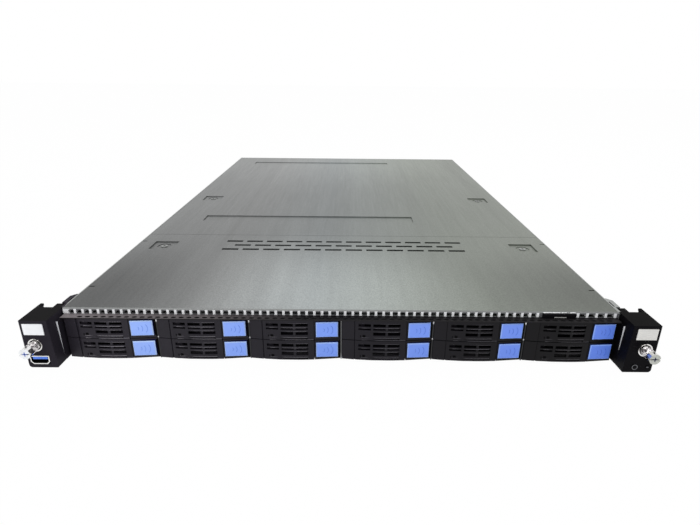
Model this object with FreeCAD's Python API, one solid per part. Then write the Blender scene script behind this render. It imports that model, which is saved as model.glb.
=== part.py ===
import FreeCAD, Part
import os
import math

# 1U rack server with twelve hot-swap 2.5 inch drive bays.
# Axes: X across the rack, Y from the front to the rear, Z up from the floor sheet.
# While modelling, Y = 0 is the front edge of the top sheet; save() moves every
# piece by -MID_Y so that the origin is the middle of the base.

V = FreeCAD.Vector

# ---- Driving dimensions (mm)
COLS = 6
ROWS = 2
COL_PITCH = 72.7         # one drive column, divider to divider
ROW_PITCH = 18.1        # one drive row
SHEET = 1.0              # side walls, rear wall and top sheets
FLOOR = 1.2              # floor sheet
FLOOR_GAP = 0.75         # floor to the lower tray fronts
COMB_H = 5.45            # ventilation comb above the drives
BODY_D = 695.0           # top sheet, front edge to rear edge
SEAM_Y = 184.0           # joint between the fixed top and the removable cover
EAR_W = 20.9             # width of an ear housing
ARM_T = 1.2              # steel arm that carries an ear
SCREW_INSET = 8.75       # mounting screw from the ear's outer side
SCREW_Z = 22.2           # middle hole of the rack unit

# ---- Clearances (mm)
SLIDE_GAP = 0.15         # under and above pieces that slide
EDGE_GAP = 0.25          # top sheets to the side walls
TRAY_GAP = 0.35          # tray to divider
ROW_GAP = 0.6            # tray to tray
ROOF_GAP = 0.25          # upper trays to the roof
SEAM_GAP = 0.5
WALL_SLACK = 0.1
PIN_GAP = 0.05           # lever on its pin
BUTTON_GAP = 0.08        # round the buttons
SCREW_GAP = 0.05         # radial, thumbscrew in its ear
SHAFT_GAP = 0.05         # fan shaft in its bearing
TAB_GAP = 0.35           # round the release tab
OCTAGON = math.cos(math.pi / 8)

# ---- Sizes that follow
DIVIDER = 0.9
BODY_W = COLS * COL_PITCH + 2 * (SHEET + WALL_SLACK)
HALF_W = BODY_W / 2
INNER_W = HALF_W - SHEET
TRAY_Z0 = FLOOR + FLOOR_GAP
BODY_H = TRAY_Z0 + ROWS * ROW_PITCH + COMB_H
TOP_Z0 = BODY_H - SHEET
EAR_X0 = HALF_W + ARM_T
EAR_X1 = EAR_X0 + EAR_W
SCREW_X = EAR_X1 - SCREW_INSET
ROOF_T = 0.8
ROOF_Z0 = TRAY_Z0 + ROWS * ROW_PITCH - ROW_GAP + ROOF_GAP
ROOF_Z1 = ROOF_Z0 + ROOF_T
TRAY_X0 = DIVIDER / 2 + TRAY_GAP
TRAY_X1 = COL_PITCH - TRAY_X0
TRAY_H = ROW_PITCH - ROW_GAP
KNOB_FRONT = -35.6
GRIP_DEPTH = 23.0        # power supply grip behind the rear wall
PSU_END = BODY_D + GRIP_DEPTH
MID_Y = (KNOB_FRONT + PSU_END) / 2


# ---- Shape helpers

def box(x0, x1, y0, y1, z0, z1):
    return Part.makeBox(x1 - x0, y1 - y0, z1 - z0, V(x0, y0, z0))


def rod(x, z, y0, y1, r):
    return Part.makeCylinder(r, y1 - y0, V(x, y0, z), V(0, 1, 0))


def post(x, y, z0, z1, r):
    return Part.makeCylinder(r, z1 - z0, V(x, y, z0))


def facet_rod(x, z, y0, y1, r):
    # Small hidden round along Y, kept to eight sides; r reaches its corners.
    return prism_y([(x + r * c, z + r * s) for c, s in ring(8)], y0, y1)


def facet_post(x, y, z0, z1, r):
    return prism_z([(x + r * c, y + r * s) for c, s in ring(8)], z0, z1)


def ring(sides):
    turns = [2 * math.pi * (k + 0.5) / sides for k in range(sides)]
    return [(math.cos(a), math.sin(a)) for a in turns]


def extrude(points, along):
    return Part.Face(Part.makePolygon(points + points[:1])).extrude(along)


def prism_z(outline, z0, z1):
    return extrude([V(x, y, z0) for x, y in outline], V(0, 0, z1 - z0))


def prism_x(outline, x0, x1):
    return extrude([V(x0, y, z) for y, z in outline], V(x1 - x0, 0, 0))


def prism_y(outline, y0, y1):
    return extrude([V(x, y0, z) for x, z in outline], V(0, y1 - y0, 0))


def fuse(shapes):
    whole = shapes[0].fuse(shapes[1:]) if len(shapes) > 1 else shapes[0]
    return whole.removeSplitter()


def cut(shape, tools):
    return shape.cut(Part.makeCompound(tools))


def group(shapes):
    solids = [solid for shape in shapes for solid in shape.Solids]
    return Part.makeCompound(solids) if len(solids) > 1 else solids[0]


def mirror_x(shape):
    return shape.mirror(V(0, 0, 0), V(1, 0, 0))


def both_sides(shape):
    return [shape, mirror_x(shape)]


def save(name, shape):
    placed = shape.copy()
    placed.translate(V(0, -MID_Y, 0))
    placed.exportStep("parts/" + name + ".step")


# ---------------------------------------------------------------- chassis

FLANGE_W = 8.0           # folded lip that carries the top sheets
ARM_NOSE = 10.5          # arm in front of the top sheet
ARM_TAIL = 24.4
ARM_BLOCK = 3.7          # width of the arm's hook beside the body
RAIL_HOLE_R = 2.1
RAIL_FRONT = 100.0       # first rail hole from the front edge
RAIL_REAR = 75.0         # last rail hole from the rear edge
RAIL_Z = BODY_H / 2
PSU_W = 55.0
PSU_L = 190.0
PSU_GAP = 1.6
PSU_Z0 = FLOOR + SLIDE_GAP
PSU_Z1 = TOP_Z0 - SHEET - 2 * SLIDE_GAP - 0.3
PSU_X = (INNER_W - 2 * PSU_W - PSU_GAP - 1.6, INNER_W - PSU_W - 1.6)
PORT_Z0 = 7.6            # top of the main board
PORTS = ((15.2, 16.0, 13.0), (36.2, 16.0, 13.0), (58.2, 14.0, 13.2), (78.2, 32.0, 12.0), (118.2, 16.0, 13.0))


def side_wall():
    # Right wall with its folded lip: high under the fixed top, a little lower under the cover.
    wall = box(INNER_W, HALF_W, 0.0, BODY_D, 0.0, BODY_H)
    front_lip = box(INNER_W - FLANGE_W, INNER_W, COMB_BACK + EDGE_GAP, SEAM_Y, TOP_Z0 - SHEET, TOP_Z0)
    low = TOP_Z0 - SLIDE_GAP
    rear_lip = box(INNER_W - FLANGE_W, INNER_W, SEAM_Y, BODY_D, low - SHEET, low)
    return fuse([wall, front_lip, rear_lip])


def ear_arm():
    # Flat nose beside the drives, riveted plate on the wall and the hook behind the ear.
    low, high = TRAY_Z0, BODY_H - 7.3
    plate = [(-ARM_NOSE + 1.2, low), (ARM_TAIL, low), (ARM_TAIL + 9, low + 7), (ARM_TAIL + 9, high)]
    plate += [(ARM_TAIL, BODY_H), (0.0, BODY_H), (0.0, high), (-ARM_NOSE, high), (-ARM_NOSE, low + 1.2)]
    hook = [(EAR_X0, 8.0), (EAR_X0 + ARM_BLOCK, 8.0), (EAR_X0 + ARM_BLOCK, ARM_TAIL - 4), (EAR_X0, ARM_TAIL)]
    groove = box(HALF_W + 0.2, EAR_X0, 9.0, 18.0, BODY_H - 3.0, BODY_H + 1)
    return cut(fuse([prism_x(plate, HALF_W, EAR_X0), prism_z(hook, 8.0, BODY_H)]), [groove])


def rear_openings():
    y0, y1 = BODY_D - 5, BODY_D + 5
    holes = [box(PSU_X[0] - 0.8, PSU_X[1] + PSU_W + 0.8, y0, y1, PSU_Z0 - SLIDE_GAP, PSU_Z1 + SLIDE_GAP)]
    x0 = -HALF_W + PORTS[0][0] - 0.8
    x1 = -HALF_W + PORTS[-1][0] + PORTS[-1][1] + 0.8
    holes.append(box(x0, x1, y0, y1, PORT_Z0 - 0.3, 22.0))
    for i in range(6):
        x = -HALF_W + 14.0 + 22.6 * i
        holes.append(box(x, x + 18.0, y0, y1, 26.0, TOP_Z0 - 5.6))
    for i in range(2):
        x = PSU_X[0] - 110.0 + 50.0 * i
        holes.append(box(x, x + 38.0, y0, y1, TOP_Z0 - 18.6, TOP_Z0 - 14.6))
        holes.append(box(x, x + 38.0, y0, y1, TOP_Z0 - 11.6, TOP_Z0 - 7.6))
    return holes


def chassis_base():
    floor = box(-INNER_W, INNER_W, -1.5, BODY_D, 0.0, FLOOR)
    rear = box(-INNER_W, INNER_W, BODY_D - SHEET, BODY_D, 0.0, TOP_Z0 - SLIDE_GAP)
    tub = fuse([floor, rear] + both_sides(side_wall()) + both_sides(ear_arm()))
    holes = rear_openings()
    for y in (RAIL_FRONT, BODY_D - RAIL_REAR):
        hole = Part.makeCylinder(RAIL_HOLE_R, 2 * SHEET + 1, V(INNER_W - SHEET, y, RAIL_Z), V(1, 0, 0))
        holes += both_sides(hole)
    return cut(tub, holes)


# ---------------------------------------------------------------- top sheets

PAN_X = HALF_W - 28.7    # stamped squares, each with a round screw seat
PAN_W = 25.0
PAN_L = 24.0
PAN_DEPTH = 1.2
PAN_FRONT_Y = SEAM_Y - 48.0
PAN_REAR_Y = SEAM_Y + 156.0
SEAT_R = 7.0
SEAT_DEPTH = 0.5
SLOT_PITCH = 6.08
SLOT_BAR = 1.9           # bar left standing between two slots
LIP_T = 1.0
COMB_BACK = 3.0          # folded front edge, from the lip to its back
COMB_FOOT = 0.7          # strip under the slots
COMB_HEAD = 2.1          # strip over them, with the bend
BEND = 1.2               # slanted bend between the lip and the top
END_SLOTS = 4            # wider slots between the tag and the right side
TAG_W = 26.0
TAG_X0 = HALF_W - 60.2
TAG_GAP = 0.3
VENT_W = BODY_W - 179.4
VENT_Y0 = SEAM_Y - 49.0
VENT_L = 30.0
VENT_PITCH = 21.5
VENT_SLOT = (17.0, 4.5)
VENT_ROWS = 3


def comb_slots():
    # Slots through the folded front edge: left of the tag and, spaced wider, to its right.
    count = int((HALF_W - 4.0) / SLOT_PITCH)
    middles = [k * SLOT_PITCH for k in range(-count, count + 1)]
    width = SLOT_PITCH - SLOT_BAR
    spots = [(x, width) for x in middles if x < TAG_X0 - SLOT_PITCH + 0.2]
    pitch = (HALF_W - TAG_X0 - TAG_W - 4.8) / END_SLOTS
    spots += [(TAG_X0 + TAG_W + 5.6 + i * pitch, pitch - SLOT_BAR) for i in range(END_SLOTS)]
    z0 = ROOF_Z1 + COMB_FOOT
    return [box(x - w / 2, x + w / 2, -LIP_T - 1, COMB_BACK + 1, z0, BODY_H - COMB_HEAD) for x, w in spots]


def vent_slots():
    # Staggered rows between the two front screw pans.
    slots = []
    length, width = VENT_SLOT
    for row in range(VENT_ROWS):
        count = int(VENT_W / VENT_PITCH) - row % 2
        y = VENT_Y0 + row * (VENT_L - width) / (VENT_ROWS - 1)
        for i in range(count):
            x = (i - count / 2) * VENT_PITCH + (VENT_PITCH - length) / 2
            slots.append(box(x, x + length, y, y + width, TOP_Z0 - 1, BODY_H + 1))
    return slots


def stamped(x0, x1, y0, y1):
    # A flat-bottomed recess pressed down into the sheet: (metal below, hollow above).
    t = SHEET
    metal = box(x0 - t, x1 + t, y0 - t, y1 + t, TOP_Z0 - PAN_DEPTH, TOP_Z0 + t / 2)
    hollow = box(x0, x1, y0, y1, BODY_H - PAN_DEPTH, BODY_H + 1)
    return metal, hollow


def screw_pans(y):
    metals, hollows = [], []
    for x in (-PAN_X, PAN_X):
        metal, hollow = stamped(x - PAN_W / 2, x + PAN_W / 2, y, y + PAN_L)
        metals.append(metal)
        seat = BODY_H - PAN_DEPTH - SEAT_DEPTH
        hollows += [hollow, post(x, y + PAN_L / 2, seat, BODY_H, SEAT_R)]
    return metals, hollows


def front_top_panel():
    edge = INNER_W - EDGE_GAP
    top = box(-edge, edge, 0.0, SEAM_Y, TOP_Z0, BODY_H)
    bent = [(-LIP_T, ROOF_Z1), (0.0, ROOF_Z1), (0.0, BODY_H), (0.2 - LIP_T / 2, BODY_H), (-LIP_T, BODY_H - BEND)]
    lip = prism_x(bent, -HALF_W, HALF_W)
    fold = box(-edge, edge, 0.0, COMB_BACK, ROOF_Z1, TOP_Z0)
    metals, hollows = screw_pans(PAN_FRONT_Y)
    panel = fuse([top, lip, fold] + metals)
    tools = hollows + vent_slots() + comb_slots()
    tools.append(box(TAG_X0 - TAG_GAP, TAG_X0 + TAG_W + TAG_GAP, -LIP_T - 1, COMB_BACK + 1, ROOF_Z1 - 1, BODY_H - 1.3))
    for y in (39.2, SEAM_Y - 24.6):
        tools += both_sides(box(edge - 5.0, edge + 1, y, y + 1.6, TOP_Z0 - 1, BODY_H + 1))
    return cut(panel, tools)


BAR_X = (-HALF_W + 44.2, PSU_X[0] - 20.0)    # pressed bar across the cover
BAR_Y = SEAM_Y + 56.0
BAR_L = 23.0
STRIP_X = (-HALF_W + 39.2, PSU_X[0] - 25.0)
STRIP_L = 21.0
STRIP_REAR = 48.0        # strip's far side from the rear edge


def rear_top_cover():
    edge = INNER_W - EDGE_GAP
    top = box(-edge, edge, SEAM_Y + SEAM_GAP, BODY_D, TOP_Z0, BODY_H)
    metals, hollows = screw_pans(PAN_REAR_Y)
    strip_y = BODY_D - STRIP_REAR - STRIP_L
    for x, y0, length in ((BAR_X, BAR_Y, BAR_L), (STRIP_X, strip_y, STRIP_L)):
        metal, hollow = stamped(x[0], x[1], y0, y0 + length)
        metals.append(metal)
        hollows.append(hollow)
    return cut(fuse([top] + metals), hollows)


# ---------------------------------------------------------------- drive cage

CAGE_END = 108.0
CAGE_SIDE = 0.6
ROOF_LIP = 8.6           # how far the roof stands out over the tray fronts
DIVIDER_FRONT = -4.6
RUNNER_W = 3.2           # ledge under each side of a tray
RUNNER_T = 1.4
RAIL_Z0 = 1.2            # carrier rail above the tray's bottom edge


def col_left(col):
    return (col - COLS / 2) * COL_PITCH


def runner_top(row):
    return TRAY_Z0 + row * ROW_PITCH + RAIL_Z0 - SLIDE_GAP


def drive_cage():
    parts = [box(-INNER_W, INNER_W, -ROOF_LIP, CAGE_END, ROOF_Z0, ROOF_Z1)]
    for k in range(COLS + 1):
        x = col_left(k)
        x0, x1 = x - DIVIDER / 2, x + DIVIDER / 2
        front = DIVIDER_FRONT
        if k in (0, COLS):
            x0, x1 = (-INNER_W, x + TRAY_X0 - 0.3) if k == 0 else (x - TRAY_X0 + 0.3, INNER_W)
            front = 0.0
        parts.append(box(x0, x1, front, CAGE_END, FLOOR, ROOF_Z0))
        left = x0 if k == 0 else x0 - RUNNER_W
        right = x1 if k == COLS else x1 + RUNNER_W
        parts.append(box(left, right, 4.0, CAGE_END, FLOOR, runner_top(0)))
        for row in range(1, ROWS):
            top = runner_top(row)
            parts.append(box(left, right, 4.0, CAGE_END, top - RUNNER_T, top))
    return fuse(parts)


BOARD_T = 1.6
BACKPLANE_IN = 10.0      # cage end to the board
BACKPLANE_Y = CAGE_END + BACKPLANE_IN
AIR_HOLE = 12.0
PLUG_X = 24.0            # from the column's left divider
PLUG_W = 28.0
DRIVE_Y0 = 3.0
DRIVE_L = 100.2
PLUG_GAP = 0.4


def drive_backplane():
    edge = INNER_W - 4.0
    board = box(-edge, edge, BACKPLANE_Y, BACKPLANE_Y + BOARD_T, 3.0, ROOF_Z1)
    windows = []
    parts = []
    for col in range(COLS):
        x = col_left(col) + 8.0
        windows.append(box(x, x + AIR_HOLE, BACKPLANE_Y - 1, BACKPLANE_Y + 3, 6.0, ROOF_Z0 - 4))
        x = col_left(col) + PLUG_X
        for row in range(ROWS):
            z = TRAY_Z0 + row * ROW_PITCH + 4.0
            parts.append(box(x, x + PLUG_W, DRIVE_Y0 + DRIVE_L + PLUG_GAP, BACKPLANE_Y, z, z + 5.0))
    foot = box(-edge, edge, BACKPLANE_Y + BOARD_T, BACKPLANE_Y + BOARD_T + 2.0, FLOOR, 5.0)
    return group([cut(board, windows), foot] + parts)


# ---------------------------------------------------------------- tray, lever, tab
# All x here are measured from the middle of the divider on the tray's left.

HINGE_X = 13.0
HINGE_Y = -2.6
KNUCKLE_R = 4.1          # rounded hinge end of the lever
PIN_R = 0.9
BOSS_R = 1.75
CHEEK_END = 10.4
KNUCKLE_GAP = 0.3
TAB_W = 17.3
TAB_MARGIN = 1.7         # tab to the tray's right side
TAB_X1 = TRAY_X1 - TAB_MARGIN
TAB_X0 = TAB_X1 - TAB_W
HOUSING_X0 = TAB_X0 - 1.2
LEVER_END = HOUSING_X0 - 0.4
TAB_Z0 = 2.6
TAB_EDGE = 0.7            # chamfer round the tab's front
TAB_H = TRAY_H - 4.4
TAB_FRONT = -8.2
TAB_BACK = -4.6
TAB_LEAN = 1.2           # the tab's right side stands back by this much
HOUSING_RIGHT = -4.6     # front of the tab's housing at the tray's right side
TAB_TRAVEL = 2.0
STEM_W = 6.1
STEM_H = 3.8
STEM_Z = TRAY_H / 2 + 0.7
BULGE = 7.8              # how far a tray front stands out
TONGUE_T = 1.2
LEVER_WALL = 1.4
SLOT_X0 = 13.6
SLOT_X1 = LEVER_END - 4.7
SLOT_RIB = 1.9
SLOT_ROWS = ((0.685, 0.824), (0.516, 0.60), (0.25, 0.41))     # of the tray's height
DRIVE_W = TRAY_X1 - TRAY_X0 - 1.5
DRIVE_H = TRAY_H - 2.4
TRAY_RAIL = 0.7


def cheek_outline(x):
    return [(x + TRAY_X0, -5.2), (x + CHEEK_END, -6.5), (x + CHEEK_END, 0.0), (x + TRAY_X0, 0.0)]


def tray_frame(x, z):
    top = z + TRAY_H
    cheek = prism_z(cheek_outline(x), z, top)
    socket = post(x + HINGE_X, HINGE_Y, z, top, KNUCKLE_R + KNUCKLE_GAP)
    front = [(x + HOUSING_X0, -7.0), (x + TRAY_X1, HOUSING_RIGHT), (x + TRAY_X1, 0.0), (x + HOUSING_X0, 0.0)]
    housing = prism_z(front, z, top)
    pocket = box(x + TAB_X0 - TAB_GAP, x + TAB_X1 + TAB_GAP, -8.0, TAB_BACK + TAB_TRAVEL + 0.4,
                 z + TAB_Z0 - TAB_GAP, z + TAB_Z0 + TAB_H + TAB_GAP)
    back = box(x + TRAY_X0, x + TRAY_X1, 0.0, 1.4, z, top)
    window = box(x + 17.0, x + LEVER_END - 2, -1.0, 3.0, z + 2.5, top - 2.5)
    mid = x + (TAB_X0 + TAB_X1) / 2
    w, h = STEM_W / 2 + 0.2, STEM_H / 2 + 0.2
    stem_hole = box(mid - w, mid + w, -4.0, 3.0, z + STEM_Z - h, z + STEM_Z + h)
    parts = [cheek.cut(socket), cut(housing, [pocket]), cut(back, [window])]
    for z0 in (z, top - TONGUE_T):
        hinge = x + HINGE_X
        tongue = [(hinge - BOSS_R, 0.0), (hinge - BOSS_R, HINGE_Y - 0.9), (hinge, HINGE_Y - BOSS_R)]
        tongue += [(hinge + BOSS_R, HINGE_Y - 0.9), (hinge + BOSS_R, 0.0)]
        parts.append(prism_z(tongue, z0, z0 + TONGUE_T))
    for x0 in (x + TRAY_X0, x + TRAY_X1 - TRAY_RAIL):
        parts.append(box(x0, x0 + TRAY_RAIL, 1.4, DRIVE_Y0 + DRIVE_L + 0.3, z + RAIL_Z0, z + TRAY_H - 3.4))
    return cut(fuse(parts), [stem_hole])


def tray(x, z):
    pin = facet_post(x + HINGE_X, HINGE_Y, z + TONGUE_T, z + TRAY_H - TONGUE_T, PIN_R)
    x0 = x + (TRAY_X0 + TRAY_X1 - DRIVE_W) / 2
    z0 = z + RAIL_Z0 + 0.1
    drive = box(x0, x0 + DRIVE_W, DRIVE_Y0, DRIVE_Y0 + DRIVE_L, z0, z0 + DRIVE_H)
    return group([tray_frame(x, z), pin, drive])


def slot_spots():
    # Left sides of the three slot columns, and their width.
    width = (SLOT_X1 - SLOT_X0 - 2 * SLOT_RIB) / 3
    return [SLOT_X0 + i * (width + SLOT_RIB) for i in range(3)], width


def front_curve():
    # Plan of the swelling lever front: it bends at the ribs between the slots.
    starts, width = slot_spots()
    ribs = [start - SLOT_RIB / 2 for start in starts[1:]]
    depths = [HINGE_Y - KNUCKLE_R, -BULGE + 0.2, -BULGE, -BULGE + 0.6]
    return list(zip([HINGE_X] + ribs + [LEVER_END], depths))


def lever_outline(x):
    # Wing, then the rounded hinge end swept from the front towards the left.
    curve = [V(x + a, b, 0) for a, b in front_curve()]
    back = [V(x + LEVER_END, -1.8, 0), V(x + HINGE_X + BOSS_R, -1.8, 0), V(x + HINGE_X, HINGE_Y + BOSS_R, 0),
            V(x + HINGE_X - BOSS_R, HINGE_Y + 0.2, 0)]
    ends = [math.radians(a) for a in (-90, -127, -164)]
    arc = [V(x + HINGE_X + KNUCKLE_R * math.cos(a), HINGE_Y + KNUCKLE_R * math.sin(a), 0) for a in ends]
    edges = Part.makePolygon(curve + back + [arc[2]]).Edges
    edges.append(Part.Arc(arc[2], arc[1], arc[0]).toShape())
    return Part.Face(Part.Wire(edges))


def lever_slots(x, z):
    starts, width = slot_spots()
    rows = [(z + low * TRAY_H, z + high * TRAY_H) for low, high in SLOT_ROWS]
    slots = []
    for start in starts:
        # The first column lies over the pin: shallower, and without the lowest slot.
        first = start == starts[0]
        for low, high in rows[:2] if first else rows:
            slots.append(box(x + start, x + start + width, -BULGE - 1, -4.6 if first else -5.3, low, high))
    return slots


def lever(x, z):
    top = z + TRAY_H
    body = lever_outline(x)
    body.translate(V(0, 0, z))
    body = body.extrude(V(0, 0, TRAY_H))
    w = LEVER_WALL
    start = HINGE_X + 5.4
    inner = [(x + start, -5.8)] + [(x + a, b + w) for a, b in front_curve()[1:-1]]
    inner += [(x + LEVER_END - w, -5.8), (x + LEVER_END - w, 0.0), (x + start, 0.0)]
    tools = [prism_z(inner, z + 1.1, top - 1.1)]
    tools.append(facet_post(x + HINGE_X, HINGE_Y, z, top, (PIN_R + PIN_GAP) / OCTAGON))
    notch = [(-5.0, HINGE_Y), (-2.95, HINGE_Y), (-2.95, -4.9), (2.4, -4.9), (2.4, 1.0), (-5.0, 1.0)]
    notch = [(x + HINGE_X + a, b) for a, b in notch]
    for z0, z1 in ((z - 1, z + TONGUE_T + 0.25), (top - TONGUE_T - 0.25, top + 1)):
        tools.append(prism_z(notch, z0, z1))
    return cut(body, tools + lever_slots(x, z))


def latch(x, z):
    z0 = z + TAB_Z0
    plan = [(x + TAB_X0, TAB_FRONT), (x + TAB_X1, TAB_FRONT + TAB_LEAN), (x + TAB_X1, TAB_BACK), (x + TAB_X0, TAB_BACK)]
    tab = prism_z(plan, z0, z0 + TAB_H)
    front = [edge for edge in tab.Edges if edge.BoundBox.YMax < TAB_FRONT + TAB_LEAN + 0.01]
    tab = tab.makeChamfer(TAB_EDGE, front)
    mid = x + (TAB_X0 + TAB_X1) / 2
    h = STEM_H / 2
    stem = box(mid - STEM_W / 2, mid + STEM_W / 2, TAB_BACK, 0.6, z + STEM_Z - h, z + STEM_Z + h)
    return fuse([tab, stem])


# ---------------------------------------------------------------- ears

EAR_FRONT = -21.7
EAR_BACK = 8.0
EAR_Z0 = 2.1
EAR_Z1 = BODY_H - 0.9
EAR_WALL = 1.8
EAR_ROUND = 2.4          # outer lower corner
EAR_FLARE = 1.6          # the inner side leans towards the trays at its foot
RIM_OUT = 2.4            # outer rim behind the ear's top
RIM_IN = 7.6
SHANK_R = 3.0
THREAD_R = 2.5
THREAD_Y = 1.8
THREAD_END = 12.0
COLLAR_R = 5.4
COLLAR_L = 0.8
NECK_R = 3.5
KNOB_R = 4.3
KNOB_BACK = KNOB_FRONT + 4.8
BADGE_W = EAR_W - 5.6
BADGE_INSET = 2.2        # badge from the ear's outer side
BADGE_Z0 = SCREW_Z + COLLAR_R + 3.3
BADGE_Z1 = EAR_Z1 - 2.6
BUTTON_R = 2.3
BUTTON_X = EAR_X1 - 0.65 * EAR_W
BUTTON_Z = EAR_Z0 + 4.8
IDENT_X = EAR_X1 - 3.6
IDENT_W = 2.2
IDENT_H = 2.8
USB_W = EAR_W - 6.3
USB_H = 7.2
USB_X = -(EAR_X0 + EAR_X1) / 2 - 0.85
USB_Z = EAR_Z0 + 6.9
USB_WALL = 0.7


def ear_profile():
    r = EAR_ROUND
    low, out = EAR_Z0, EAR_X1
    k = r * (1 - math.sqrt(0.5))
    points = [V(out, 0, low + r), V(out, 0, EAR_Z1), V(EAR_X0, 0, EAR_Z1), V(EAR_X0, 0, low), V(out - r, 0, low)]
    edges = Part.makePolygon(points).Edges
    edges.append(Part.Arc(points[-1], V(out - k, 0, low + k), points[0]).toShape())
    return Part.Face(Part.Wire(edges))


def ear_shell():
    # Right ear; the left one is its mirror image.
    face = ear_profile()
    face.translate(V(0, EAR_FRONT, 0))
    shell = face.extrude(V(0, EAR_BACK - EAR_FRONT, 0))
    w = EAR_WALL
    hollow = box(EAR_X0 + w, EAR_X1 - w, EAR_FRONT + w, EAR_BACK + 1, EAR_Z0 + w, EAR_Z1 - w)
    flare = [(EAR_X0, EAR_Z1 - 6.0), (EAR_X0, EAR_Z0), (EAR_X0 - EAR_FLARE + 0.4, EAR_Z0), (EAR_X0 - EAR_FLARE, EAR_Z0 + 0.4)]
    shell = fuse([shell, prism_y(flare, EAR_FRONT, -ARM_NOSE - 0.3)])
    step = box(EAR_X0 + RIM_IN, EAR_X1 - RIM_OUT, THREAD_Y - 0.5, EAR_BACK + 1, 0.0, EAR_Z1 + 5)
    r = SHANK_R + 1.6
    boss = box(SCREW_X - r, SCREW_X + r, EAR_FRONT, THREAD_Y - 0.5, SCREW_Z - r, SCREW_Z + r)
    bore = rod(SCREW_X, SCREW_Z, EAR_FRONT - 1, EAR_BACK, SHANK_R + SCREW_GAP)
    return cut(fuse([cut(shell, [hollow, step]), boss]), [bore])


def left_ear():
    w, h = USB_W / 2, USB_H / 2
    socket = box(USB_X - w, USB_X + w, EAR_FRONT - 1, EAR_FRONT + 5, USB_Z - h, USB_Z + h)
    return cut(mirror_x(ear_shell()), [socket])


def right_ear():
    y0, y1 = EAR_FRONT - 1, EAR_FRONT + EAR_WALL + 1
    w, h = IDENT_W / 2 + BUTTON_GAP, IDENT_H / 2 + BUTTON_GAP
    holes = [rod(BUTTON_X, BUTTON_Z, y0, y1, BUTTON_R + BUTTON_GAP)]
    holes.append(box(IDENT_X - w, IDENT_X + w, y0, y1, BUTTON_Z - h, BUTTON_Z + h))
    return cut(ear_shell(), holes)


def thumbscrew(side):
    # Revolved profile (neck, flat collar on the ear, shank, threaded end) with a twelve-sided knob.
    profile = [(0, KNOB_BACK), (NECK_R, KNOB_BACK), (NECK_R, EAR_FRONT - COLLAR_L)]
    profile += [(COLLAR_R, EAR_FRONT - COLLAR_L), (COLLAR_R, EAR_FRONT - 0.05), (SHANK_R, EAR_FRONT - 0.05)]
    profile += [(SHANK_R, THREAD_Y), (THREAD_R, THREAD_Y), (THREAD_R, THREAD_END), (0, THREAD_END)]
    wire = Part.makePolygon([V(r, y, 0) for r, y in profile + profile[:1]])
    screw = Part.Face(wire).revolve(V(0, 0, 0), V(0, 1, 0), 360)
    knob = prism_y([(KNOB_R * c, KNOB_R * s) for c, s in ring(12)], KNOB_FRONT, KNOB_BACK)
    slot = box(-KNOB_R, KNOB_R, KNOB_FRONT - 1, KNOB_FRONT + 1.2, -0.5, 0.5)
    screw = fuse([screw, cut(knob, [slot])])
    screw.translate(V(side * SCREW_X, 0, SCREW_Z))
    return screw


def ear_badges():
    x1 = EAR_X1 - BADGE_INSET
    return group(both_sides(box(x1 - BADGE_W, x1, EAR_FRONT - 0.6, EAR_FRONT, BADGE_Z0, BADGE_Z1)))


def usb_port():
    w, h = USB_W / 2, USB_H / 2
    c = 2.0
    outline = [(-w, h), (w, h), (w, -h + c), (w - c, -h), (-w + c, -h), (-w, -h + c)]
    outer = prism_y([(USB_X + x, USB_Z + z) for x, z in outline], EAR_FRONT - 0.4, -9.0)
    t = USB_WALL
    inner = [(-w + t, h - t), (w - t, h - t), (w - t, -h + c + 0.3)]
    inner += [(w - c - 0.3, -h + t), (-w + c + 0.3, -h + t), (-w + t, -h + c + 0.3)]
    hollow = prism_y([(USB_X + x, USB_Z + z) for x, z in inner], EAR_FRONT - 1.0, -10.0)
    tongue = box(USB_X - w + 1.7, USB_X + w - 1.7, EAR_FRONT + 0.3, -10.0, USB_Z + 0.3, USB_Z + 2.4)
    return group([outer.cut(hollow), tongue])


def button_base(x, w):
    # Wider square base that stops the cap against the inside of the ear.
    y = EAR_FRONT + EAR_WALL + 0.8
    return box(x - w, x + w, y, y + 2.6, BUTTON_Z - w, BUTTON_Z + w)


def power_button():
    cap = rod(BUTTON_X, BUTTON_Z, EAR_FRONT - 0.5, EAR_FRONT + EAR_WALL + 0.8, BUTTON_R)
    return fuse([cap, button_base(BUTTON_X, BUTTON_R + 0.6)])


def id_button():
    w, h = IDENT_W / 2, IDENT_H / 2
    y1 = EAR_FRONT + EAR_WALL + 0.8
    cap = box(IDENT_X - w, IDENT_X + w, EAR_FRONT - 0.4, y1, BUTTON_Z - h, BUTTON_Z + h)
    return fuse([cap, button_base(IDENT_X, 1.8)])


def info_tag():
    x1 = TAG_X0 + TAG_W
    plate = box(TAG_X0, x1, -1.2, 62.0, ROOF_Z1 + SLIDE_GAP, ROOF_Z1 + 1.8)
    face = box(TAG_X0, x1, -2.6, -1.2, ROOF_Z1 + SLIDE_GAP, BODY_H - 1.6)
    return fuse([plate, face])


# ---------------------------------------------------------------- fans

FANS = 4
FAN_SIDE = 11.2          # side wall to the first fan's share of the width
FAN_PITCH = (BODY_W - 2 * FAN_SIDE) / FANS
FAN_SIZE = TOP_Z0 - PAN_DEPTH - FLOOR
FAN_L = 40.0
FAN_Y0 = SEAM_Y + 8.0
FAN_BORE = FAN_SIZE / 2 - 0.9
FAN_Z = FLOOR + FAN_SIZE / 2
GUARD_T = 3.0            # rear wall that holds the bearing
TIP_GAP = 0.6
HUB_R = 9.0
SHAFT_R = 1.5
BLADES = 5


def fan_x(i):
    return (i - (FANS - 1) / 2) * FAN_PITCH


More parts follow.
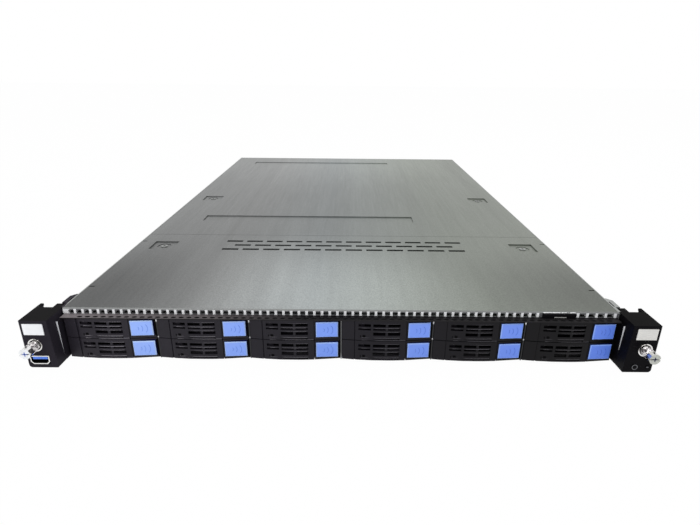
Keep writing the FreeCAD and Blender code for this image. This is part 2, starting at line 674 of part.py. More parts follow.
def fan_frame(x):
    # Square frame, round bore, and a rear guard with four windows round the bearing.
    half = FAN_SIZE / 2
    end = FAN_Y0 + FAN_L
    frame = box(x - half, x + half, FAN_Y0, end, FLOOR, FLOOR + FAN_SIZE)
    tools = [rod(x, FAN_Z, FAN_Y0 - 1, end - GUARD_T, FAN_BORE)]
    tools.append(facet_rod(x, FAN_Z, end - GUARD_T - 1, end + 1, (SHAFT_R + SHAFT_GAP) / OCTAGON))
    for side in (-1, 1):
        for level in (-1, 1):
            cx, cz = x + 7.2 * side, FAN_Z + 8.0 * level
            tools.append(box(cx - 5.4, cx + 5.4, end - GUARD_T - 1, end + 1, cz - 4.6, cz + 4.6))
    return cut(frame, tools)


def fan_housings():
    frames = [fan_frame(fan_x(i)) for i in range(FANS)]
    half = FAN_SIZE / 2
    edges = [-INNER_W + 10.0] + [fan_x(i) + s * half for i in range(FANS) for s in (-1, 1)] + [INNER_W - 10.0]
    plates = []
    for k in range(0, len(edges), 2):
        plates.append(box(edges[k], edges[k + 1], FAN_Y0 + 18.0, FAN_Y0 + 20.0, FLOOR, FLOOR + FAN_SIZE))
    return group(frames + plates)


def fan_rotor(x):
    # Eight-sided hub with pitched blades whose corners stay inside the bore.
    y0, y1 = FAN_Y0 + 3.0, FAN_Y0 + FAN_L - GUARD_T - 0.4
    hub = facet_rod(0, 0, y0, y1, HUB_R)
    shaft = facet_rod(0, 0, y1 - 1.0, FAN_Y0 + FAN_L - 0.4, SHAFT_R)
    reach = math.sqrt((FAN_BORE - TIP_GAP) ** 2 - 6.8 ** 2)
    parts = [hub, shaft]
    for k in range(BLADES):
        blade = box(-0.8, 0.8, -11.0, 11.0, HUB_R - 2.0, reach)
        blade.rotate(V(0, 0, 0), V(0, 0, 1), 32)
        blade.translate(V(0, (y0 + y1) / 2, 0))
        blade.rotate(V(0, 0, 0), V(0, 1, 0), 360 / BLADES * k)
        parts.append(blade)
    rotor = fuse(parts)
    rotor.translate(V(x, 0, FAN_Z))
    return rotor


# ---------------------------------------------------------------- electronics

BOARD_Z0 = 6.0
BOARD_Z1 = BOARD_Z0 + BOARD_T
BOARD_Y0 = FAN_Y0 + FAN_L + 58.0
BOARD_X0 = -HALF_W + 13.0
BOARD_X1 = PSU_X[0] - 5.0
BOARD_SIDE = 22.3        # board edge to the first memory bank
DIMM_PITCH = 8.0
BANK_DIMMS = 4
BANK_GAP = 3.6
BANK_W = (BANK_DIMMS - 1) * DIMM_PITCH + 2 * BANK_GAP
SINKS = 2
SINK_W = (BOARD_X1 - BOARD_X0 - 2 * BOARD_SIDE - (SINKS + 1) * BANK_W) / SINKS
SINK_L = 92.0
SINK_Y0 = BOARD_Y0 + 82.0
SOCKET_H = 3.4
SINK_TOP = TOP_Z0 - 5.6
FIN_T = 2.0
FINS = 9
MEMORY_L = 140.0
MEMORY_Y0 = SINK_Y0 + (SINK_L - MEMORY_L) / 2
DIMM_TOP = TOP_Z0 - 6.0
RISER_Y0 = MEMORY_Y0 + MEMORY_L + 37.0
RISER_X = BOARD_X1 - 108.0
RISER_W = 96.0           # card carried over the board
RISER_Z = 20.0
SOCKET_IN = 18.0         # socket's edge from the heatsink's


def bank_x(k):
    return BOARD_X0 + BOARD_SIDE + k * (BANK_W + SINK_W)


def port_shell(offset, w, h):
    x = -HALF_W + offset
    shell = box(x, x + w, BODY_D - 22.0, BODY_D + 0.6, BOARD_Z1, BOARD_Z1 + h)
    mouth = box(x + 1.2, x + w - 1.2, BODY_D - 12.0, BODY_D + 2.0, BOARD_Z1 + 1.8, BOARD_Z1 + h - 1.2)
    return shell.cut(mouth)


def motherboard():
    y1 = BODY_D - SHEET - 0.4
    parts = [box(BOARD_X0, BOARD_X1, BOARD_Y0, y1, BOARD_Z0, BOARD_Z1)]
    for x in (BOARD_X0 + 6, (BOARD_X0 + BOARD_X1) / 2, BOARD_X1 - 6):
        for y in (BOARD_Y0 + 6, (BOARD_Y0 + y1) / 2, y1 - 34):
            parts.append(box(x - 2.5, x + 2.5, y - 2.5, y + 2.5, FLOOR, BOARD_Z0))
    for k in range(SINKS):
        x = bank_x(k) + BANK_W + SINK_W / 6
        y0, y1 = SINK_Y0 + SOCKET_IN, SINK_Y0 + SINK_L - SOCKET_IN
        parts.append(box(x, x + SINK_W * 2 / 3, y0, y1, BOARD_Z1, BOARD_Z1 + SOCKET_H))
    parts += [port_shell(*port) for port in PORTS]
    x, y = RISER_X, BODY_D - 6.0
    parts.append(box(x, x + BOARD_T, RISER_Y0, y, BOARD_Z1, TOP_Z0 - 6.6))
    parts.append(box(x + BOARD_T, x + RISER_W, RISER_Y0, y, RISER_Z, RISER_Z + BOARD_T))
    return group(parts)


def cpu_heatsinks():
    # Finned block as one extruded profile.
    foot = BOARD_Z1 + SOCKET_H
    pitch = (SINK_W - FIN_T) / (FINS - 1)
    sinks = []
    for k in range(SINKS):
        x0 = bank_x(k) + BANK_W
        profile = [(x0 + SINK_W, foot), (x0, foot)]
        for i in range(FINS):
            x = x0 + i * pitch
            profile += [(x, SINK_TOP), (x + FIN_T, SINK_TOP)]
            if i < FINS - 1:
                profile += [(x + FIN_T, foot + 4.0), (x + pitch, foot + 4.0)]
        sinks.append(prism_y(profile, SINK_Y0, SINK_Y0 + SINK_L))
    return group(sinks)


def memory_modules():
    parts = []
    y1 = MEMORY_Y0 + MEMORY_L
    for k in range(SINKS + 1):
        for i in range(BANK_DIMMS):
            x = bank_x(k) + BANK_GAP + i * DIMM_PITCH
            parts.append(box(x - 2.4, x + 2.4, MEMORY_Y0, y1, BOARD_Z1, BOARD_Z1 + 4.4))
            parts.append(box(x - 0.7, x + 0.7, MEMORY_Y0 + 3.0, y1 - 3.0, BOARD_Z1 + 4.4, DIMM_TOP))
    return group(parts)


def power_supply(x):
    face = BODY_D + 1.5
    case = box(x, x + PSU_W, BODY_D - PSU_L, face, PSU_Z0, PSU_Z1)
    inlet = box(x + 6.0, x + 30.0, face - 17.0, face + 2.0, 5.0, 21.0)
    pins = [box(x + 17.2 + d, x + 18.8 + d, face - 17.0, face - 6.0, 11.0, 15.0) for d in (-6.6, 0.0, 6.6)]
    z = PSU_Z1 - 17.0
    fan = rod(x + 42.0, z, face - 5.0, face + 2.0, 11.0)
    cross = box(x + 30.6, x + 53.4, face - 3.0, face - 1.0, z - 1.5, z + 1.5)
    outer = box(x + 6.0, x + 27.0, face, PSU_END, z, z + 13.0)
    loop = box(x + 8.6, x + 24.4, face - 1, PSU_END - 3.0, z - 1, z + 14.0)
    return group([fuse([cut(case, [inlet, fan]), cross, outer.cut(loop)])] + pins)


def build():
    os.makedirs("parts", exist_ok=True)
    save("chassis_base", chassis_base())
    save("front_top_panel", front_top_panel())
    save("rear_top_cover", rear_top_cover())
    save("drive_cage", drive_cage())
    save("drive_backplane", drive_backplane())
    for col in range(COLS):
        for row in range(ROWS):
            # Numbered down each column, from the left: the upper tray comes first.
            number = col * ROWS + ROWS - row
            x = col_left(col)
            z = TRAY_Z0 + row * ROW_PITCH
            save("drive_tray_%02d" % number, tray(x, z))
            save("tray_lever_%02d" % number, lever(x, z))
            save("tray_latch_%02d" % number, latch(x, z))
    save("left_ear", left_ear())
    save("right_ear", right_ear())
    save("thumbscrew_left", thumbscrew(-1))
    save("thumbscrew_right", thumbscrew(1))
    save("ear_badges", ear_badges())
    save("usb_port", usb_port())
    save("power_button", power_button())
    save("id_button", id_button())
    save("info_tag", info_tag())
    save("fan_housings", fan_housings())
    for i in range(FANS):
        save("fan_rotor_%d" % (i + 1), fan_rotor(fan_x(i)))
    save("motherboard", motherboard())
    save("cpu_heatsinks", cpu_heatsinks())
    save("memory_modules", memory_modules())
    save("psu_1", power_supply(PSU_X[0]))
    save("psu_2", power_supply(PSU_X[1]))


build()
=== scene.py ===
import math

import bpy
import bmesh
from mathutils import Matrix, Vector


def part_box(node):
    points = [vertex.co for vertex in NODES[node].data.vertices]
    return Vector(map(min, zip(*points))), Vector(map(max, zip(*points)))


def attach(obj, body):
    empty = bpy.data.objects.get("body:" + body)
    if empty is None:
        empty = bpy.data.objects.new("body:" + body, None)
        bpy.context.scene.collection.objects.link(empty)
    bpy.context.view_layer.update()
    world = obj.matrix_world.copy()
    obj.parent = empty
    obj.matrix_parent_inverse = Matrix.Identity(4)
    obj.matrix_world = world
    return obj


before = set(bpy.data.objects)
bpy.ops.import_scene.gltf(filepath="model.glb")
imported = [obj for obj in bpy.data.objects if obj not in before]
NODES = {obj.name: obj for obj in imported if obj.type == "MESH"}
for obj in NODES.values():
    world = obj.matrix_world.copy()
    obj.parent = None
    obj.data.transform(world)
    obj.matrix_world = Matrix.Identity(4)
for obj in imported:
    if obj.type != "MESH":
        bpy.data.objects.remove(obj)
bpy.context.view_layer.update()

# 1U rack server with twelve drive trays. X goes across the rack, Y from the front to the rear
# and Z up. The frame is in metres: a size given in mm is multiplied by MM.

MM = 0.001
SCENE = bpy.context.scene

# ------------------------------------------------------------------ places

TRAYS = range(1, 13)
FANS = range(1, 5)

front_lo, front_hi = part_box("front_top_panel")
cover_lo, cover_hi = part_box("rear_top_cover")
cage_lo, cage_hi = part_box("drive_cage")
tag_lo, tag_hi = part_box("info_tag")
usb_lo, usb_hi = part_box("usb_port")
usb_mid = (usb_lo + usb_hi) / 2
board_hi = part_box("motherboard")[1]
EAR_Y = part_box("left_ear")[0].y          # front of both ears

COMB_OUT = 1.0 * MM                      # the slotted edge stands out past the top sheet
FRONT_Y = front_lo.y + COMB_OUT          # front edge of the top sheet
TOP_Z = front_hi.z
ROOF_Z = cage_hi.z                       # roof of the cage, with its lip over the drives
SLOT_PITCH = 6.08 * MM                   # slots of the comb left of the tag
END_PITCH = 7.35 * MM                    # and those right of it
END_START = tag_hi.x + 5.6 * MM          # middle of the first slot right of the tag
HALF_SPAN = 0.24                         # colours that change across the width do so over +- this


# ------------------------------------------------------------------ shader nodes

class Tree:
    """Adds nodes to the node tree of a material or a world, and links them."""

    def __init__(self, owner, output):
        owner.use_nodes = True
        self.tree = owner.node_tree
        self.tree.nodes.clear()
        self.out = self.add(output)

    def add(self, kind, **values):
        node = self.tree.nodes.new(kind)
        for key, value in values.items():
            setattr(node, key, value)
        return node

    def link(self, source, target):
        self.tree.links.new(source, target)

    def calc(self, operation, one, two=None):
        """A sum on one value, or on two; the second may be a plain number."""
        node = self.add("ShaderNodeMath", operation=operation)
        self.link(one, node.inputs[0])
        if isinstance(two, float):
            node.inputs[1].default_value = two
        elif two is not None:
            self.link(two, node.inputs[1])
        return node.outputs[0]

    def backdrop_rays(self):
        """1 for rays that see the white backdrop: the camera's, and those off metal or glass."""
        path = self.add("ShaderNodeLightPath")
        rays = self.calc("MAXIMUM", path.outputs["Is Camera Ray"], path.outputs["Is Glossy Ray"])
        return self.calc("MAXIMUM", rays, path.outputs["Is Transmission Ray"])

    def surface(self, share, one, two):
        """Ends the tree in shader one, turned to shader two where share is 1."""
        mix = self.add("ShaderNodeMixShader")
        self.link(share, mix.inputs["Fac"])
        self.link(one.outputs[0], mix.inputs[1])
        self.link(two.outputs[0], mix.inputs[2])
        self.link(mix.outputs[0], self.out.inputs[0])


class Nodes(Tree):
    """One material with a Principled shader; patterns are placed in the object's own space."""

    def __init__(self, name):
        self.mat = bpy.data.materials.new(name)
        super().__init__(self.mat, "ShaderNodeOutputMaterial")
        self.bsdf = self.add("ShaderNodeBsdfPrincipled")
        self.link(self.bsdf.outputs[0], self.out.inputs[0])
        self.coords = self.add("ShaderNodeTexCoord").outputs["Object"]

    def set(self, **values):
        """Numbers and colours of the shader that are the same all over."""
        for key, value in values.items():
            self.bsdf.inputs[key.replace("_", " ")].default_value = value

    def colour(self, source):
        self.link(source, self.bsdf.inputs["Base Color"])

    def rough(self, source):
        self.link(source, self.bsdf.inputs["Roughness"])

    def bump(self, value, strength, distance):
        node = self.add("ShaderNodeBump")
        node.inputs["Strength"].default_value = strength
        node.inputs["Distance"].default_value = distance
        self.link(value, node.inputs["Height"])
        self.link(node.outputs["Normal"], self.bsdf.inputs["Normal"])

    def stretched(self, scale):
        node = self.add("ShaderNodeMapping")
        node.inputs["Scale"].default_value = scale
        self.link(self.coords, node.inputs["Vector"])
        return node.outputs[0]

    def noise(self, scale, detail=3.0, rough=0.5, stretch=(1, 1, 1)):
        node = self.add("ShaderNodeTexNoise")
        node.inputs["Scale"].default_value = scale
        node.inputs["Detail"].default_value = detail
        node.inputs["Roughness"].default_value = rough
        self.link(self.stretched(stretch), node.inputs["Vector"])
        return node.outputs["Fac"]

    def voronoi(self, scale, stretch=(1, 1, 1)):
        node = self.add("ShaderNodeTexVoronoi")
        node.inputs["Scale"].default_value = scale
        self.link(self.stretched(stretch), node.inputs["Vector"])
        return node.outputs["Color"]

    def axis(self, letter):
        node = self.add("ShaderNodeSeparateXYZ")
        self.link(self.coords, node.inputs[0])
        return node.outputs[letter]

    def spread(self, value, low, high, start=0.0, end=1.0):
        """The value, which goes from start to end, as one that goes from low to high."""
        node = self.add("ShaderNodeMapRange")
        node.inputs["From Min"].default_value = start
        node.inputs["From Max"].default_value = end
        node.inputs["To Min"].default_value = low
        node.inputs["To Max"].default_value = high
        self.link(value, node.inputs["Value"])
        return node.outputs["Result"]

    def near(self, place, reach, at_place, far):
        """A value that changes smoothly from at_place to far over the distance reach."""
        node = self.add("ShaderNodeVectorMath", operation="DISTANCE")
        node.inputs[1].default_value = place
        self.link(self.coords, node.inputs[0])
        soft = self.add("ShaderNodeMapRange", interpolation_type="SMOOTHSTEP")
        soft.inputs["From Max"].default_value = reach
        soft.inputs["To Min"].default_value = at_place
        soft.inputs["To Max"].default_value = far
        self.link(node.outputs["Value"], soft.inputs["Value"])
        return soft.outputs["Result"]

    def ramp(self, value, stops):
        """A colour by value, from stops of (value, colour)."""
        node = self.add("ShaderNodeValToRGB")
        ramp = node.color_ramp
        for element, (place, colour) in zip(ramp.elements, (stops[0], stops[-1])):
            element.position, element.color = place, (*colour, 1)
        for place, colour in stops[1:-1]:
            ramp.elements.new(place).color = (*colour, 1)
        self.link(value, node.inputs["Fac"])
        return node.outputs["Color"]

    def across(self, stops):
        """A colour that changes from the left ear to the right ear, by shares of that width."""
        return self.ramp(self.spread(self.axis("X"), 0.0, 1.0, -HALF_SPAN, HALF_SPAN), stops)

    def scaled(self, colour, factor):
        node = self.add("ShaderNodeVectorMath", operation="SCALE")
        self.link(colour, node.inputs[0])
        self.link(factor, node.inputs["Scale"])
        return node.outputs[0]

    def tinted(self, colour, tint):
        node = self.add("ShaderNodeVectorMath", operation="MULTIPLY")
        self.link(colour, node.inputs[0])
        self.link(tint, node.inputs[1])
        return node.outputs[0]

    def mixed(self, share, one, two):
        """Colour one, turned to two where share is 1; two may be a plain colour."""
        node = self.add("ShaderNodeMix", data_type="RGBA")
        self.link(share, node.inputs[0])
        self.link(one, node.inputs[6])
        if isinstance(two, tuple):
            node.inputs[7].default_value = (*two, 1)
        else:
            self.link(two, node.inputs[7])
        return node.outputs[2]


# ------------------------------------------------------------------ kinds of material

FINE_GRAIN = 1900.0                      # texture of moulded plastic
ROLLED_GRAIN = (420.0, 2.0, 0.6, (1.0, 0.04, 1.0))


def shade(colour, factor):
    return tuple(min(1.0, c * factor) for c in colour)


def grey(level):
    return (level, level, level)


def galvanised(name, base, metallic, rough):
    """Zinc-coated sheet: faint rolled grain along the depth and soft cloudy patches."""
    n = Nodes(name)
    clouds = n.noise(9.0, 4.0, 0.55, (1.0, 0.45, 1.0))
    n.colour(n.ramp(clouds, [(0.3, shade(base, 0.93)), (0.7, shade(base, 1.07))]))
    grain = n.noise(*ROLLED_GRAIN)
    n.rough(n.spread(grain, rough - 0.06, rough + 0.06))
    n.bump(grain, 0.05, 0.0002)
    n.set(Metallic=metallic)
    return n.mat


def top_sheet(name, base):
    """The top's zinc: speckled, brushed along the depth, with painted light: lighter in the middle
    of the front and at the rear, darker in the front corners.
    """
    n = Nodes(name)
    clouds = n.noise(7.0, 4.0, 0.6, (1.0, 0.35, 1.0))
    tone = n.ramp(clouds, [(0.3, shade(base, 0.90)), (0.7, shade(base, 1.09))])
    tint = n.across([(0.25, (1.0, 0.98, 1.0)), (0.45, (0.96, 0.99, 1.02)),
                     (0.75, (0.98, 1.02, 0.92)), (1.0, (1.0, 1.02, 0.92))])
    speck = n.spread(n.noise(900.0, 2.0, 0.7), 0.79, 1.21, 0.3, 0.7)
    streaks = n.spread(n.noise(60.0, 3.0, 0.6, (1.0, 0.02, 1.0)), 0.93, 1.07, 0.3, 0.7)
    # painted light and shade: a glow in the middle of the front and at the rear, darker front
    # corners
    middle = n.near((-0.035, FRONT_Y + 0.02, TOP_Z), 0.19, 1.96, 1.0)
    left = n.near((front_lo.x + 0.01, FRONT_Y + 0.03, TOP_Z), 0.17, 0.47, 1.0)
    right = n.near((front_hi.x, FRONT_Y + 0.03, TOP_Z), 0.14, 0.58, 1.0)
    rear = n.near((0.0, cover_hi.y, TOP_Z), 0.38, 1.46, 1.0)
    factor = speck
    for part in (streaks, middle, rear, left, right):
        factor = n.calc("MULTIPLY", factor, part)
    n.colour(n.scaled(n.tinted(tone, tint), factor))
    grain = n.noise(*ROLLED_GRAIN)
    n.rough(n.spread(grain, 0.34, 0.48))
    n.bump(grain, 0.05, 0.0002)
    n.set(Metallic=0.9)
    return n.mat


def comb_bars(name, bright, dim):
    """The slotted front edge, with painted light: its bars painted bright as highlights, dim
    between them and over and under the slots, and a painted highlight at its left end.
    """
    n = Nodes(name)
    x = n.axis("X")

    def bars(pitch, start, low, high):
        """Bright between low and high, as shares of the pitch."""
        share = n.calc("FRACT", n.calc("DIVIDE", n.calc("SUBTRACT", x, start), pitch))
        return n.ramp(share, [(0.0, dim), (low - 0.03, dim), (low, bright),
                              (high, bright), (high + 0.03, dim), (1.0, dim)])

    # painted highlights: the bright bars and the bright left end
    left_bars = bars(SLOT_PITCH, 0.0, 0.34, 0.66)
    right_bars = bars(END_PITCH, END_START, 0.37, 0.63)
    past_tag = n.spread(x, 0.0, 1.0, tag_hi.x, tag_hi.x + 1.0 * MM)
    corner_highlight = n.spread(x, 1.0, 0.0, front_lo.x + 5.0 * MM, front_lo.x + 5.4 * MM)
    colour = n.mixed(corner_highlight, n.mixed(past_tag, left_bars, right_bars), bright)
    n.colour(n.scaled(colour, n.spread(n.noise(500.0, 2.0), 0.88, 1.08, 0.3, 0.7)))
    n.set(Metallic=0.1, Roughness=0.4)
    return n.mat


def front_bend(name, base, bright):
    """The rounded bend over the slots, dull but for a broken glint over the pull-out tag."""
    n = Nodes(name)
    x = n.axis("X")
    from_left = n.spread(x, 0.0, 1.0, tag_lo.x, tag_lo.x + 0.5 * MM)
    to_right = n.spread(x, 1.0, 0.0, tag_hi.x - 0.5 * MM, tag_hi.x)
    low = n.spread(n.axis("Z"), 1.0, 0.0, TOP_Z - 0.75 * MM, TOP_Z - 0.55 * MM)
    broken = n.spread(n.noise(420.0, 2.0, 0.6, (1.0, 1.0, 0.1)), 0.0, 1.0, 0.36, 0.48)
    glint = n.calc("MULTIPLY", n.calc("MULTIPLY", from_left, to_right), low)
    glint = n.calc("MULTIPLY", glint, broken)
    clouds = n.ramp(n.noise(60.0), [(0.3, shade(base, 0.93)), (0.7, shade(base, 1.07))])
    n.colour(n.mixed(glint, clouds, bright))
    n.set(Metallic=0.2, Roughness=0.5)
    return n.mat


def moulded(name, base, rough=0.42, grain=0.10, spec=0.5):
    """Moulded plastic with a fine texture; base is a colour, or stops across the width."""
    n = Nodes(name)
    tone = n.noise(35.0)
    if isinstance(base, list):
        n.colour(n.scaled(n.across(base), n.spread(tone, 0.90, 1.10, 0.3, 0.7)))
    else:
        n.colour(n.ramp(tone, [(0.3, shade(base, 0.92)), (0.7, shade(base, 1.08))]))
    n.rough(n.spread(tone, rough - 0.05, rough + 0.05))
    n.bump(n.noise(FINE_GRAIN, 2.0, 0.6), grain, 0.0001)
    n.set(Specular_IOR_Level=spec)
    return n.mat


def tab_plastic(name, stops):
    """The tabs' blue, paler at the left of the row where it faces the light."""
    n = Nodes(name)
    n.colour(n.across(stops))
    n.rough(n.spread(n.noise(35.0), 0.38, 0.48))
    n.bump(n.noise(FINE_GRAIN, 2.0, 0.6), 0.05, 0.0001)
    return n.mat


def striped(name, stops):
    """Paint that changes with height, by shares of the height of the cage's roof."""
    n = Nodes(name)
    n.colour(n.ramp(n.spread(n.axis("Z"), 0.0, 1.0, 0.0, ROOF_Z), stops))
    n.rough(n.spread(n.noise(300.0, 2.0), 0.35, 0.55))
    return n.mat


def plated(name, base):
    """Bright nickel plating with small wear variations."""
    n = Nodes(name)
    wear = n.noise(160.0)
    n.colour(n.ramp(wear, [(0.35, shade(base, 0.9)), (0.65, base)]))
    n.rough(n.spread(wear, 0.12, 0.22))
    n.set(Metallic=1.0)
    return n.mat


def knurled(name, bright, dark):
    """Plated steel with a diamond knurl, its facets painted as a fine pattern of highlight and
    shade.
    """
    n = Nodes(name)
    cells = n.voronoi(620.0, (1.0, 0.8, 1.0))
    n.colour(n.ramp(cells, [(0.25, dark), (0.55, bright), (0.8, bright)]))
    n.bump(cells, 0.5, 0.0003)
    n.set(Metallic=0.9, Roughness=0.25)
    return n.mat


def knob_front(name, left, right):
    """The turned front of a knob, blotched light and dark; left and right are the two knobs', the
    left one painted lighter than the right as painted light.
    """
    n = Nodes(name)
    blotch = n.spread(n.voronoi(700.0), 0.80, 1.08)
    # painted light: the left knob lighter than the right
    n.colour(n.scaled(n.across([(0.05, left), (0.95, right)]), blotch))
    n.set(Metallic=0.25, Roughness=0.35)
    return n.mat


def board_green(name, base):
    """Printed circuit board: solder mask over fine tracks."""
    n = Nodes(name)
    tracks = n.voronoi(260.0)
    n.colour(n.ramp(tracks, [(0.2, shade(base, 0.75)), (0.8, shade(base, 1.25))]))
    n.set(Roughness=0.38)
    n.bump(tracks, 0.12, 0.0001)
    return n.mat


# ------------------------------------------------------------------ materials

# Sheet metal
zinc_top = top_sheet("zinc_top", (0.168, 0.176, 0.171))
comb_zinc = comb_bars("comb_zinc", grey(1.0), (0.13, 0.13, 0.135))
bend_zinc = front_bend("bend_zinc", (0.20, 0.205, 0.20), grey(0.90))
zinc_side = galvanised("zinc_side", (0.29, 0.30, 0.29), 0.9, 0.38)
drive_metal = galvanised("drive_metal", (0.50, 0.51, 0.52), 0.9, 0.35)
psu_metal = galvanised("psu_metal", (0.42, 0.43, 0.43), 0.9, 0.36)
fins = galvanised("fins", (0.62, 0.63, 0.64), 0.95, 0.30)
usb_shell = galvanised("usb_shell", (0.97, 0.94, 0.91), 0.25, 0.32)

# Drive cage: black sheet; the top of its lip painted lighter at the left as painted light; its
# dividers' cut edges painted dark as shade, with painted highlights at the foot, between the rows
# of trays and at the top
cage_black = moulded("cage_black", (0.006, 0.005, 0.006), 0.5, spec=0.2)
cage_lip = moulded("cage_lip", [(0.04, (0.155, 0.138, 0.142)), (0.28, (0.080, 0.070, 0.072)),
                                (0.44, (0.0015, 0.001, 0.002)), (1.0, (0.008, 0.007, 0.008))],
                   0.5, spec=0.10)
# painted shade along the dividers' edges, between painted highlights
EDGE_SHADE = (0.004, 0.004, 0.006)
edge_metal = striped("edge_metal", [(0.0, grey(0.6)), (0.05, EDGE_SHADE), (0.5, EDGE_SHADE),
                                    (0.53, grey(0.6)), (0.55, EDGE_SHADE), (0.86, EDGE_SHADE),
                                    (0.90, grey(0.8)), (1.0, grey(0.8))])
edge_grey = striped("edge_grey", [(0.0, grey(0.35)), (0.2, grey(0.08)), (0.9, grey(0.10)),
                                  (1.0, grey(0.5))])

# Noses of the ear arms: black at the foot, with a bright cut edge above; the right nose's edge is
# painted black further up, as painted shade, and less bright
nose_left = striped("nose_left", [(0.0, grey(0.01)), (0.05, grey(0.01)),
                                  (0.08, (0.75, 0.75, 0.78)), (1.0, (0.97, 0.97, 1.0))])
nose_right = striped("nose_right", [(0.0, grey(0.01)), (0.38, grey(0.01)),
                                    (0.42, (0.6, 0.6, 0.62)), (1.0, (0.8, 0.8, 0.82))])

# Black plastics; those seen at the front are painted lighter at the left and darker to the right,
# as painted light and shade
tray_black = moulded("tray_black", [(0.05, (0.0230, 0.0200, 0.0265)),
                                    (0.25, (0.0170, 0.0150, 0.0200)),
                                    (0.50, (0.0105, 0.0092, 0.0130)),
                                    (0.80, (0.0020, 0.0015, 0.0025)),
                                    (1.0, (0.0012, 0.0008, 0.0016))], spec=0.17)
# painted highlights: the lighter lines along the levers' fronts, fading to the right
lever_rib_highlight = moulded("lever_rib_highlight", [(0.05, (0.270, 0.250, 0.275)), (0.30, (0.150, 0.140, 0.155)),
                                  (0.55, (0.066, 0.061, 0.072)), (1.0, (0.040, 0.036, 0.042))],
                    0.35, spec=0.4)
ear_black = moulded("ear_black", [(0.05, (0.0220, 0.0190, 0.0255)),
                                  (0.30, (0.0080, 0.0070, 0.0090)),
                                  (0.95, (0.0030, 0.0026, 0.0036))], 0.5, spec=0.05)
# a darker copy of the ears' black for their tops, as painted shade
ear_top_shade = moulded("ear_top_shade", [(0.05, (0.0050, 0.0045, 0.0050)),
                                (0.95, (0.0014, 0.0012, 0.0013))], 0.5, spec=0.02)
# deep black: the lamp windows, and painted shade in recesses, slots, grooves and vents
deep_black = moulded("deep_black", (0.0012, 0.0012, 0.0015), 0.7, spec=0.05)
fan_black = moulded("fan_black", (0.012, 0.012, 0.013), 0.40)
chip_black = moulded("chip_black", (0.015, 0.015, 0.016), 0.50)

# Release tabs and USB tongue
tab_blue = tab_plastic("tab_blue", [(0.16, (0.310, 0.470, 0.990)), (0.43, (0.198, 0.341, 0.900)),
                                    (0.74, (0.158, 0.283, 0.850)), (0.92, (0.118, 0.240, 0.838))])
# painted light: the tabs' chamfers paler as highlight, their sides dark as shade, the arcs' lines
# a darker blue as shade; all paler at the left of the row
tab_rim = moulded("tab_rim", [(0.16, (0.50, 0.66, 1.0)), (0.50, (0.36, 0.52, 0.98)),
                              (0.92, (0.24, 0.40, 0.93))], grain=0.05)
tab_side_shade = moulded("tab_side_shade", (0.006, 0.014, 0.12), 0.5, 0.05, 0.2)
tab_line = moulded("tab_line", [(0.16, (0.150, 0.265, 0.72)), (0.50, (0.095, 0.195, 0.63)),
                                (0.92, (0.060, 0.135, 0.56))], 0.45, 0.03, 0.3)
usb_blue = moulded("usb_blue", (0.09, 0.25, 0.95), 0.35, 0.03)

# Thumbscrews
nickel = plated("nickel", (0.86, 0.85, 0.83))
knurl = knurled("knurl", (0.95, 0.93, 0.91), (0.13, 0.115, 0.11))
coil_steel = knurled("coil_steel", (0.92, 0.90, 0.90), (0.20, 0.18, 0.19))
knob_face = knob_front("knob_face", (0.93, 0.95, 0.96), (0.50, 0.51, 0.46))
# the knobs' cross recesses painted dark as shade, bluish on the left knob
recess = moulded("recess", [(0.05, (0.16, 0.22, 0.55)), (0.95, (0.030, 0.032, 0.075))],
                 0.5, 0.03, 0.2)

# Plates, marks and boards
# the badges painted darker and yellower towards the right ear, as painted shade
badge_white = moulded("badge_white", [(0.05, (0.95, 0.95, 0.96)), (0.95, (0.70, 0.685, 0.645))],
                      0.30, 0.03)
mark_grey = moulded("mark_grey", (0.11, 0.11, 0.12), 0.5, 0.03)
mark_pale = moulded("mark_pale", (0.45, 0.44, 0.42), 0.5, 0.03)
pcb = board_green("pcb", (0.012, 0.085, 0.035))


# ------------------------------------------------------------------ the CAD nodes

# Each rule below gets a face's centre and normal, and returns the number of its material.

BEND_BACK = FRONT_Y + 0.3 * MM           # just behind the bend over the slots
FOLD_BACK = FRONT_Y + 3.5 * MM           # just behind the folded, slotted edge
COMB_LOW = ROOF_Z - 1.0 * MM
COMB_HIGH = TOP_Z - 1.1 * MM
ARM_BACK = FRONT_Y + 34 * MM             # the left arm is black as far back as this
FLOOR_TOP = 1.3 * MM
DIVIDER_Y = FRONT_Y - 1.4 * MM           # only the dividers' edges face the front before this
PLATE_BACK = FRONT_Y + 1.6 * MM          # just behind a tray's front
DRIVE_Y = FRONT_Y + 6 * MM               # in front of the drives
TONGUE_HALF = 5.7 * MM                   # USB tongue: half its width, then its height
TONGUE_Z = (usb_mid.z + 0.3 * MM, usb_mid.z + 2.5 * MM)
KNOB_BACK = EAR_Y - 9.0 * MM             # just behind the knob of a thumbscrew
COLLAR_FRONT = EAR_Y - 0.9 * MM          # just in front of its collar
PORTS_Z = 8 * MM                         # rear connectors: above, behind and left of these
PORTS_Y = board_hi.y - 23 * MM
PORTS_X = -70 * MM
CHIPS_Z = (7.7 * MM, 11.1 * MM)


def paint(node, materials, rule=None):
    """Gives a CAD node its materials; without a rule, all of it gets the first."""
    mesh = NODES[node].data
    mesh.materials.clear()
    for material in materials:
        mesh.materials.append(material)
    for face in mesh.polygons:
        face.material_index = rule(face.center, face.normal) if rule else 0


def chassis_face(c, n):
    """Black arms in front of the top sheet, with a bright cut edge on each nose."""
    if c.y > FRONT_Y or c.z < FLOOR_TOP:
        return 1 if c.x < front_lo.x and c.y < ARM_BACK else 0
    if n.y < -0.9 and abs(c.x) > front_hi.x:
        return 2 if c.x < 0 else 3
    return 1


